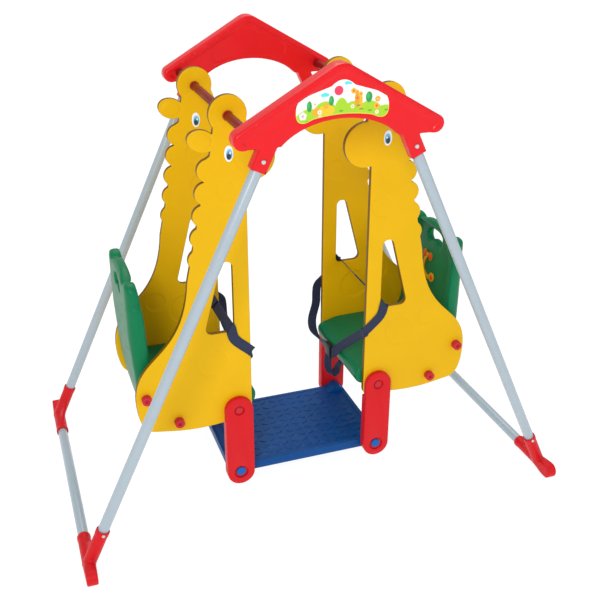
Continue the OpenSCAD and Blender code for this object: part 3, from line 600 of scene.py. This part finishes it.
def roof_line(loop):
    """Points of a gable's outline that lie along the roof edges and round the eaves."""
    even = evened(loop, 2.0)
    if area(even) < 0:
        even = even[::-1]
    out = -inward(even)
    # a line below and along the roof edges parts them from the arch
    below_roof = even[:, 1].max() - ROOF_SLOPE * np.abs(even[:, 0]) - ROOF_BAND
    faces_up = out[:, 1] > 0.25
    return even[faces_up & (even[:, 1] > below_roof) | (np.abs(even[:, 0]) > EAVE_X)]


def gable_piece(node, material, round_mm):
    low, high = (Vector(c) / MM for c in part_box(node))
    y_mid = (low.y + high.y) / 2
    rim_half = (high.y - low.y) / 2
    loops = section_loops(node, y_mid + (READ_IN if y_mid < 0 else -READ_IN))
    loops = [loop for loop in loops if abs(area(loop)) > LEAST_AREA]
    roof = roof_line(max(loops, key=lambda loop: abs(area(loop))))
    sheet = print_outline(node.replace("gable", "print"))
    recess = evened(sheet, 1.5)

    def height(p):
        from_roof = nearest(p, roof)
        rim = 1 - ease(from_roof, RIM_WIDTH - 7, RIM_WIDTH + 1)
        crown = RIM_CROWN * np.sin(np.clip(from_roof / RIM_WIDTH, 0, 1) * math.pi)
        sunk = ease(np.where(inside(p, [sheet]), 1, -1) * nearest(p, recess), -1.8, 0.6)
        return rim * (RIM_RISE + crown) - RECESS * sunk

    def fine_near(p):
        return np.minimum(np.abs(nearest(p, roof) - RIM_WIDTH + 3), nearest(p, recess))

    bm = relief_slab(loops, y_mid, rim_half - RIM_RISE, round_mm, height, fine_near, step=3.5)
    return put(f"{node}_moulding", bm, material, node)


def print_outline(node):
    low, high = (Vector(c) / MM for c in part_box(node))
    return max(section_loops(node, (low.y + high.y) / 2), key=lambda l: abs(area(l)))


def paint_inks(piece, colour_at):
    """Stores each corner's ink colour; colour_at takes mm (x, z) points and gives linear RGB."""
    mesh = piece.data
    spots = np.array([(v.co.x / MM, v.co.z / MM) for v in mesh.vertices])
    inks = colour_at(spots)
    layer = mesh.color_attributes.new("inks", "FLOAT_COLOR", "POINT")
    layer.data.foreach_set("color", np.hstack([inks, np.ones((len(inks), 1))]).astype(np.float32).ravel())


def lay(base, colour, gap, soft=0.7):
    """Inks one shape over base, where gap is the signed distance inside it."""
    cover = ease(gap, -soft, soft)[:, None]
    return base * (1 - cover) + np.array(colour) * cover


def blob(p, x, z, rx, rz):
    """Roughly the distance inside an ellipse."""
    away = np.linalg.norm((p - (x, z)) / (rx, rz), axis=1)
    return (1 - away) * min(rx, rz)


# The printed meadow: each ellipse is x, z, half width and half height in mm
CLOUD_PUFFS = [(x + dx, z + dz, 1.2 * r, r) for x, z in ((-43, 1163), (12, 1186))
               for dx, dz, r in ((-5, 0, 4), (0, 1.2, 4.6), (5, 0.4, 4))]
SUN = [(-11, 1171, 10.5, 10.5)]
HILLS = [(-78, 1096, 40, 40), (-42, 1106, 34, 44), (-4, 1118, 18, 37), (24, 1098, 34, 48), (62, 1094, 40, 50),
         (100, 1092, 36, 40)]
TREES = [(-79, 1141, 6, 12), (-28, 1150, 6, 11), (61, 1152, 8, 12)]
TREE_LIGHTS = [(x - 0.25 * w, z + 0.2 * h, 0.4 * w, 0.5 * h) for x, z, w, h in TREES]
LEAVES = [(x, z, 5, 2) for x, z in ((-5, 1126), (43, 1127), (36, 1135), (104, 1120), (-83, 1108), (64, 1122))]
# in the order of printing, later inks over earlier ones
PRINTS = (("#4FE0EE", CLOUD_PUFFS), ("#FF2A55", SUN), ("#A4D406", HILLS), ("#0B9A42", TREES),
          ("#2FB85A", TREE_LIGHTS), ("#F6C70A", [(-40, 1130, 20, 11)]), ("#EFA818", [(-62, 1128, 10, 9)]),
          ("#F39A12", [(33, 1150, 6, 20)]), ("#F6B70F", [(42, 1142, 4, 20)]))
# x, z and radius in mm, and the inks of petals and heart
FLOWERS = (
    (24, 1168, 6.5, "#F4B40C", "#E4640F"), (33, 1152, 6, "#F39416", "#D94818"),
    (41, 1160, 5.5, "#F6C21B", "#E06A12"), (82, 1146, 6.5, "#F3A016", "#F8D65A"),
    (80, 1131, 7, "#F7B412", "#E04A22"), (81, 1117, 4.5, "#FBF3DE", "#F0B030"),
    (-66, 1145, 4.5, "#FBF0D8", "#F08A5A"), (-55, 1127, 5, "#FDF4E2", "#F3A64A"),
    (-54, 1117, 3.6, "#FBE9D0", "#F0904A"), (22, 1134, 4.2, "#FCEFDC", "#E8823A"),
    (-40, 1140, 6, "#F7A21A", "#F4C420"), (-94, 1121, 8.5, "#F3F4F6", "#E4A9B6"))


def print_all(out, p, code, ellipses):
    for ellipse in ellipses:
        out = lay(out, linear(code), blob(p, *ellipse))
    return out


def meadow(edge):
    """Ink colours of the printed panel: sun, clouds, hills, trees, bushes and flowers in a thin border."""

    def colour_at(p):
        out = np.tile(np.array(linear("#FDFDFB")), (len(p), 1))
        for code, ellipses in PRINTS:
            out = print_all(out, p, code, ellipses)
        for x, z, r, petal, heart in FLOWERS:
            turns = [math.tau * k / 5 + 0.3 for k in range(5)]
            petals = [(x + 0.55 * r * math.cos(t), z + 0.55 * r * math.sin(t), 0.52 * r, 0.52 * r)
                      for t in turns]
            out = print_all(out, p, petal, petals)
            out = print_all(out, p, heart, [(x, z, 0.38 * r, 0.38 * r)])
        out = print_all(out, p, "#4FA81A", LEAVES)
        # the border is white above and yellow-green along the meadow
        low = ease(1135 - p[:, 1], -12, 12)[:, None]
        border = np.array(linear("#FFFFFF")) * (1 - low) + np.array(linear("#D6E84A")) * low
        cover = (1 - ease(nearest(p, edge), 1.2, 2.4))[:, None]
        return out * (1 - cover) + border * cover

    return colour_at


def print_piece(node, material):
    low, high = (Vector(c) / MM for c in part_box(node))
    sheet = print_outline(node)
    edge = evened(sheet, 1.5)
    bm = relief_slab([sheet], (low.y + high.y) / 2, (high.y - low.y) / 2, 0.25,
                     lambda p: np.zeros(len(p)), lambda p: np.zeros(len(p)), step=1.5, fine=1.3, rings=1)
    piece = put(f"{node}_sheet", bm, material, node)
    paint_inks(piece, meadow(edge))
    return piece


# ---------------------------------------------------------------- eyes
# Thickness of an eye's CAD disc, rise of its dome and height of its rim, in mm
EYE_THICK, EYE_DOME, EYE_RIM = 0.6, 1.1, 0.15
EYE_SPOKES, EYE_ROWS = 40, 14


def eye_pieces(node, material):
    """Domed printed eyes, one on each face of the two panels of a swing."""
    low, high = (Vector(c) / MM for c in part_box(node))
    cx, cz = (low.x + high.x) / 2, (low.z + high.z) / 2
    rx, rz = (high.x - low.x) / 2, (high.z - low.z) / 2
    side = 1 if cx > 0 else -1
    panel_mid = (IN_Y + OUT_Y) / 2
    levels = sorted({round(v.co.y / MM, 2) for v in frame["nodes"][node].data.vertices})
    turns = [math.tau * s / EYE_SPOKES for s in range(EYE_SPOKES)]
    bm = bmesh.new()
    for y0 in levels[::2]:
        outward = -1 if y0 < -panel_mid or 0 < y0 < panel_mid else 1
        base = y0 + EYE_THICK if outward < 0 else y0
        grid = []
        for r in range(EYE_ROWS + 1):
            k = r / EYE_ROWS
            lift = EYE_DOME * math.sqrt(max(0, 1 - k * k)) + EYE_RIM if r < EYE_ROWS else 0
            grid.append([bm.verts.new(((cx + rx * k * math.cos(t)) * MM, (base + outward * lift) * MM,
                                       (cz + rz * k * math.sin(t)) * MM)) for t in turns])
        for a, b in zip(grid, grid[1:]):
            for k in range(EYE_SPOKES):
                n = (k + 1) % EYE_SPOKES
                bm.faces.new((a[k], a[n], b[n], b[k]))
    bmesh.ops.remove_doubles(bm, verts=bm.verts, dist=0.005 * MM)
    bmesh.ops.recalc_face_normals(bm, faces=bm.faces)
    for face in bm.faces:
        face.smooth = True
    piece = put(f"{node}_printed", bm, material, node)

    def colour_at(p):
        out = np.tile(np.array(linear("#F4FAFC")), (len(p), 1))
        out = lay(out, linear("#6FC4E4"), blob(p, cx - 1.0 * side, cz - 1.5, 8.2, 13.5), 1.0)
        out = lay(out, linear("#2E8CC0"), blob(p, cx - 0.6 * side, cz - 4.5, 6.8, 9.8), 1.2)
        out = lay(out, linear("#10151F"), blob(p, cx + 0.4 * side, cz - 7.5, 5.6, 7.6), 1.0)
        return lay(out, linear("#FFFFFF"), blob(p, cx - 3.2 * side, cz + 1.5, 1.9, 2.8), 0.6)

    paint_inks(piece, colour_at)
    return piece


# ---------------------------------------------------------------- motifs
# The backrest's dished face leans from a line on the sitting surface; the motif stands proud of it, in mm
BACK_LEAN, DISH_X, MOTIF_IN = math.radians(4), SEAT_REAR_X - 66, 20.7
# across the backrest, height above the sitting surface, half width and half height of each dome
HEART, BUDS = (-15, 170, 7.5, 7.5), ((6, 229, 9.5, 13), (40, 229, 9.5, 13))
DOME_RISE = 2.6


def motif_domes(node, side, material):
    """The flower's orange heart and its two orange buds, domed out of the motif's face."""
    bm = bmesh.new()
    for y, up, wide, tall in (HEART, *BUDS):
        x = DISH_X + MOTIF_IN * math.cos(BACK_LEAN) + up * math.sin(BACK_LEAN)
        z = PAN_Z + up * math.cos(BACK_LEAN) - MOTIF_IN * math.sin(BACK_LEAN)
        place = (Matrix.Translation((side * x * MM, y * MM, z * MM))
                 @ Matrix.Diagonal((DOME_RISE * MM, wide * MM, tall * MM, 1)))
        bmesh.ops.create_uvsphere(bm, u_segments=32, v_segments=16, radius=1, matrix=place)
    for face in bm.faces:
        face.smooth = True
    return put(f"{node}_domes", bm, material, node)


# ---------------------------------------------------------------- belts
def spline(points, count):
    """Smooth curve through points, count steps between each two."""
    p = np.array(points, float)
    out = []
    for k in range(len(p) - 1):
        a, b, c, d = p[max(k - 1, 0)], p[k], p[k + 1], p[min(k + 2, len(p) - 1)]
        for i in range(count + (k == len(p) - 2)):
            t = i / count
            out.append(b + t * (c - a) / 2 + t * t * (a - 2.5 * b + 2 * c - d / 2)
                       + t ** 3 * (1.5 * b - a / 2 - 1.5 * c + d / 2))
    return np.array(out)


def unit(v):
    v = np.array(v, float)
    return v / np.linalg.norm(v)


BELT_WIDTH, BELT_THICK = 28.0, 2.0
# the buckle hangs in front of the seat's lip; the belts pass the foot of each neck opening
BUCKLE = np.array([LIP_X - 21, 0, PAN_Z - 27])
POST_X, POST_Z = PANEL_X + 55, OPEN_Z + 12
# directions of the belt's width where it crosses the seat and where it runs down the post
DOWN = unit([0.65, 0, -0.76])
ACROSS = unit([-0.75, 0, 0.66])
# distance of the outer run from the middle, and half the step between the two lapped ends
RUN_Y = OUT_Y + BELT_THICK / 2 + 0.7
LAP = np.array([0.76, 0, 0.65]) * (BELT_THICK + 0.3) / 2
# how far the belt sags in the middle between the neck openings
SAG = 5.0


def crossing(s):
    """From the lapped ends in the middle to a neck opening."""
    run = [np.array([POST_X, s * y, POST_Z - SAG * (1 - (y / IN_Y) ** 2)])
           for y in (-20, 20, 60, 110, IN_Y - 3)]
    return [tuple(p + s * LAP) for p in run[:2]] + [tuple(p) for p in run[2:]]


def outer_run(s):
    """Down over the outside of the front post."""
    return [(POST_X, s * (OUT_Y - 2), POST_Z + 0.5), (POST_X - 2.2, s * RUN_Y, POST_Z - 3),
            (POST_X - 12, s * RUN_Y, POST_Z - 36), (PANEL_X + 8, s * RUN_Y, POST_Z - 70)]


def lap_route():
    """Centre line and width direction of a lap belt, for the right-hand seat."""
    front = [(PANEL_X - 1.6, -RUN_Y + 0.8, POST_Z - 79), (PANEL_X - 2.8, -OUT_Y + 3, POST_Z - 83),
             (PANEL_X - 2.8, -IN_Y - 3, POST_Z - 93), (PANEL_X - 5, -IN_Y + 12, POST_Z - 103),
             (LIP_X, -98, PAN_Z + 46), (LIP_X - 12, -58, PAN_Z + 8), (LIP_X - 20.5, -34, PAN_Z - 22),
             tuple(BUCKLE + (0, -23, 0))]
    rear = [(PANEL_X - 10, RUN_Y, POST_Z - 88), (PANEL_X - 14, RUN_Y, POST_Z - 112),
            (PANEL_X - 16, RUN_Y - 2, POST_Z - 150), (PANEL_X - 31, OUT_Y - 8, POST_Z - 200),
            (PANEL_X - 35, IN_Y - 16, PAN_Z - 35), (LIP_X - 19, 84, PAN_Z - 40), (LIP_X - 21, 36, PAN_Z - 29),
            tuple(BUCKLE + (0, 23, 0))]
    down, across = [tuple(-DOWN)] * 6, [tuple(ACROSS)] * 3
    points = (crossing(-1) + outer_run(-1) + front + [tuple(BUCKLE)] + rear[::-1] + outer_run(1)[::-1]
              + crossing(1)[::-1])
    wide = down + across
    wide += [(-0.6, 0, 0.75), (0, 0.5, 0.8), (0, 0.7, 0.7), (0, 0.7, 0.7), (0, 0.6, 0.8), (0, 0.4, 0.9)]
    wide += [(0, 0, 1)] * 5
    wide += [(-0.6, 0, 0.8), (-1, 0, 0.3), (-1, 0, 0), (-1, 0, 0), (-1, 0, 0.2), (-0.9, 0, 0.5)]
    return points, wide + across + down


def crotch_route():
    points = [tuple(BUCKLE + d) for d in ((0, 0, -20), (-3, 0, -38), (-2, 0, -66), (9, 0, -89), (24, 0, -80),
                                          (35, 0, -56))]
    points += [(LIP_X + 29, 0, UNDER_Z + 26.4), (LIP_X + 41, 0, UNDER_Z + 20.3),
               (LIP_X + 56, 0, UNDER_Z + 12.6)]
    return points, [(0.5, -0.86, 0)] * 5 + [(0, -1, 0)] * 4


def strap_piece(node, route, side, material):
    """Flat webbing with rolled selvedges along a route, with its weave laid out in mm."""
    points, wide = spline(route[0], 8), spline(route[1], 8)
    ahead = np.gradient(points, axis=0)
    ahead /= np.linalg.norm(ahead, axis=1)[:, None]
    u = wide - (wide * ahead).sum(1)[:, None] * ahead
    u /= np.linalg.norm(u, axis=1)[:, None]
    v = np.cross(ahead, u)
    run = np.concatenate([[0], np.cumsum(np.linalg.norm(np.diff(points, axis=0), axis=1))])
    # a section's outline, out from one selvedge and back, as shares of half the width and thickness
    across = np.array([-1, -0.97, -0.86, -0.4, 0, 0.4, 0.86, 0.97, 1, 0.97, 0.86, 0.4, 0, -0.4, -0.86, -0.97])
    thick = np.array([0, 0.8, 1, 0.86, 0.86, 0.86, 1, 0.8, 0, -0.8, -1, -0.86, -0.86, -0.86, -1, -0.8])
    bm = bmesh.new()
    layer = bm.loops.layers.uv.new("strap_mm")
    mirror = np.array([side, 1, 1])
    rows = []
    for p, a, b in zip(points, u, v):
        ring = [p + a * c * BELT_WIDTH / 2 + b * t * BELT_THICK / 2 for c, t in zip(across, thick)]
        rows.append([bm.verts.new(tuple(q * mirror * MM)) for q in ring])
    count = len(across)
    for k in range(len(rows) - 1):
        for i in range(count):
            j = (i + 1) % count
            face = bm.faces.new((rows[k][i], rows[k][j], rows[k + 1][j], rows[k + 1][i]))
            for loop, (c, r) in zip(face.loops, ((i, k), (j, k), (j, k + 1), (i, k + 1))):
                loop[layer].uv = (across[c] * BELT_WIDTH / 2, run[r])
            face.smooth = True
    bm.faces.new(rows[0][::-1])
    bm.faces.new(rows[-1])
    bmesh.ops.recalc_face_normals(bm, faces=bm.faces)
    return put(f"{node}_webbing", bm, material, node)


# ---------------------------------------------------------------- operators
class GLIDER_OT_gables(bpy.types.Operator):
    """Moulds the two gables with their rolled rims and lays the printed panels in them"""

    bl_idname = "glider.gables"
    bl_label = "Gables"

    def execute(self, context):
        for end in ("front", "rear"):
            gable_piece(f"gable_{end}", stock("roof"), sizes().roof_round / MM)
            print_piece(f"print_{end}", stock("print"))
        return {"FINISHED"}


class GLIDER_OT_stand(bpy.types.Operator):
    """Paints the legs and floor tubes and moulds the feet, with their bolts and screws"""

    bl_idname = "glider.stand"
    bl_label = "Legs and feet"

    def execute(self, context):
        for side in ("left", "right"):
            softened(f"floor_tube_{side}", f"floor_tube_{side}_painted", stock("paint"), 0.5, 2)
            for end in ("front", "rear"):
                softened(f"leg_{end}_{side}", f"leg_{end}_{side}_painted", stock("paint"), 0.5, 2)
                remoulded(f"foot_{end}_{side}", f"foot_{end}_{side}_moulding", stock("link"), 2.0, 8)
        softened("gable_bolts", "gable_bolts_plated", stock("zinc"), 0.7)
        softened("foot_screws", "foot_screws_plated", stock("zinc"), 0.4)
        return {"FINISHED"}


class GLIDER_OT_rods(bpy.types.Operator):
    """Plates the rods, draws the sleeves over them and turns the bushes"""

    bl_idname = "glider.rods"
    bl_label = "Rods and sleeves"

    def execute(self, context):
        for side in ("left", "right"):
            softened(f"rod_{side}", f"rod_{side}_plated", stock("zinc"), 0.8)
            softened(f"bushes_{side}", f"bushes_{side}_turned", stock("cap"), 0.4)
            for end in ("front", "mid", "rear"):
                softened(f"spacer_{end}_{side}", f"spacer_{end}_{side}_sleeve", stock("sleeve"), 0.8)
        return {"FINISHED"}


class GLIDER_OT_panels(bpy.types.Operator):
    """Moulds the four giraffe panels with their pressed spots, and sets the printed eyes on them"""

    bl_idname = "glider.panels"
    bl_label = "Giraffe panels"

    def execute(self, context):
        for side in ("left", "right"):
            for end in ("front", "rear"):
                giraffe_piece(f"giraffe_{end}_{side}", stock("panel"), sizes().panel_round / MM,
                              sizes().emboss / MM)
            eye_pieces(f"eyes_{side}", stock("print"))
        return {"FINISHED"}


class GLIDER_OT_seats(bpy.types.Operator):
    """Casts the two seats with soft corners and puts their flower motifs and bolts in"""

    bl_idname = "glider.seats"
    bl_label = "Seats"

    def execute(self, context):
        for side in ("left", "right"):
            remoulded(f"seat_{side}", f"seat_{side}_moulding", stock("seat"), 3.0, 36)
            softened(f"motif_{side}", f"motif_{side}_moulding", stock("motif_yellow"), 1.0)
            motif_domes(f"motif_{side}", 1 if side == "right" else -1, stock("motif_orange"))
            softened(f"seat_bolts_{side}", f"seat_bolts_{side}_capped", stock("cap"), 1.6)
        return {"FINISHED"}


class GLIDER_OT_footrest(bpy.types.Operator):
    """Moulds the footrest with its tread bars, the links, pegs and washers"""

    bl_idname = "glider.footrest"
    bl_label = "Footrest and links"

    def execute(self, context):
        softened("footrest", "footrest_moulding", stock("deck"), 0.8, 2)
        softened("footrest_pegs", "footrest_pegs_moulding", stock("peg"), 1.6)
        softened("footrest_washers", "footrest_washers_moulding", stock("washer"), 0.5)
        for side in ("left", "right"):
            softened(f"link_bolts_{side}", f"link_bolts_{side}_capped", stock("cap"), 1.2)
            for end in ("front", "rear"):
                softened(f"link_{end}_{side}", f"link_{end}_{side}_moulding", stock("link"),
                         sizes().link_round / MM)
        return {"FINISHED"}


class GLIDER_OT_belts(bpy.types.Operator):
    """Lays the lap and crotch belts in webbing and moulds the buckles"""

    bl_idname = "glider.belts"
    bl_label = "Belts"

    def execute(self, context):
        for side, way in (("left", -1), ("right", 1)):
            strap_piece(f"lap_belt_{side}", lap_route(), way, stock("webbing"))
            strap_piece(f"crotch_belt_{side}", crotch_route(), way, stock("webbing"))
            softened(f"buckle_{side}", f"buckle_{side}_moulding", stock("buckle"), 2.5)
        return {"FINISHED"}


FLOOR_REACH = 60.0
# name, place, width and power of each lamp, and the point all of them face
LAMPS = (("key", (-2.0, -3.6, 3.0), 1.4, 85), ("top", (0.4, 1.6, 3.6), 2.6, 50),
         ("fill", (2.8, -2.4, 1.4), 2.0, 10))
LAMP_AIM = (0, 0, 0.6)
# The camera stands to the left of the front and looks down on the swing
CAMERA_AT, CAMERA_TURN, CAMERA_LIFT = (-0.7346, -2.1672, 1.6055), -19.35, 26.23
LENS_MM, LENS_SHIFT = 53.18, (0.0047, 0.0060)


class GLIDER_OT_stage(bpy.types.Operator):
    """Sets up the pale floor, the soft studio light and the camera"""

    bl_idname = "glider.stage"
    bl_label = "Stage"

    def execute(self, context):
        scene = context.scene
        mesh = bpy.data.meshes.new("floor")
        far = FLOOR_REACH
        mesh.from_pydata([(-far, -far, 0), (far, -far, 0), (far, far, 0), (-far, far, 0)], [], [(0, 1, 2, 3)])
        floor = bpy.data.objects.new("floor", mesh)
        scene.collection.objects.link(floor)
        # opal acrylic table lit from below: an even, nearly white ground with faint shadows
        mat, tree = blank("backlit_opal_acrylic")
        place = add(tree, "ShaderNodeTexCoord").outputs["Object"]
        fibre = add(tree, "ShaderNodeTexNoise", {"Scale": per_metre(12), "Detail": 3.0}, {"Vector": place})
        tone = two_tones(tree, fibre.outputs["Fac"], linear("#686868"), linear("#707070"))
        glow = {"Roughness": 0.9, "Emission Color": (1, 1, 1, 1), "Emission Strength": 0.93}
        finish_material(tree, add(tree, "ShaderNodeBsdfPrincipled", glow, {"Base Color": tone}))
        mesh.materials.append(mat)

        world = bpy.data.worlds.new("studio")
        world.use_nodes = True
        world.node_tree.nodes["Background"].inputs["Color"].default_value = (1, 1, 1, 1)
        world.node_tree.nodes["Background"].inputs["Strength"].default_value = 0.55
        scene.world = world
        for name, at, size, power in LAMPS:
            light = bpy.data.lights.new(name, "AREA")
            light.shape, light.size, light.energy = "DISK", size, power
            lamp = bpy.data.objects.new(name, light)
            lamp.location = at
            lamp.rotation_euler = (Vector(LAMP_AIM) - Vector(at)).to_track_quat("-Z", "Y").to_euler()
            scene.collection.objects.link(lamp)

        camera = bpy.data.objects.new("camera", bpy.data.cameras.new("camera"))
        camera.data.sensor_width, camera.data.lens = 36.0, LENS_MM
        camera.data.shift_x, camera.data.shift_y = LENS_SHIFT
        turn, lift = math.radians(CAMERA_TURN), math.radians(CAMERA_LIFT)
        back = Vector((math.sin(turn) * math.cos(lift), -math.cos(turn) * math.cos(lift), math.sin(lift)))
        camera.location = CAMERA_AT
        camera.rotation_euler = (-back).to_track_quat("-Z", "Y").to_euler()
        scene.collection.objects.link(camera)
        scene.camera = camera
        scene.view_settings.view_transform = "Standard"
        return {"FINISHED"}


class GLIDER_PT_panel(bpy.types.Panel):
    """Lists the steps that build the swing"""

    bl_idname = "GLIDER_PT_panel"
    bl_label = "Glider swing"
    bl_space_type = "VIEW_3D"
    bl_region_type = "UI"
    bl_category = "Glider swing"

    def draw(self, context):
        for group in (context.scene.swing_colours, context.scene.swing_sizes):
            for key in group.__annotations__:
                self.layout.prop(group, key)
        for step in STEPS:
            self.layout.operator(step.bl_idname)


STEPS = (GLIDER_OT_stage, GLIDER_OT_gables, GLIDER_OT_stand, GLIDER_OT_rods, GLIDER_OT_panels,
         GLIDER_OT_seats, GLIDER_OT_footrest, GLIDER_OT_belts)
CLASSES = (SwingColours, SwingSizes, *STEPS, GLIDER_PT_panel)


def register():
    for cls in CLASSES:
        bpy.utils.register_class(cls)
    bpy.types.Scene.swing_colours = bpy.props.PointerProperty(type=SwingColours)
    bpy.types.Scene.swing_sizes = bpy.props.PointerProperty(type=SwingSizes)


def unregister():
    del bpy.types.Scene.swing_sizes
    del bpy.types.Scene.swing_colours
    for cls in reversed(CLASSES):
        bpy.utils.unregister_class(cls)


def main():
    register()
    for step in STEPS:
        group, name = step.bl_idname.split(".")
        getattr(getattr(bpy.ops, group), name)()


if __name__ == "__main__":
    main()
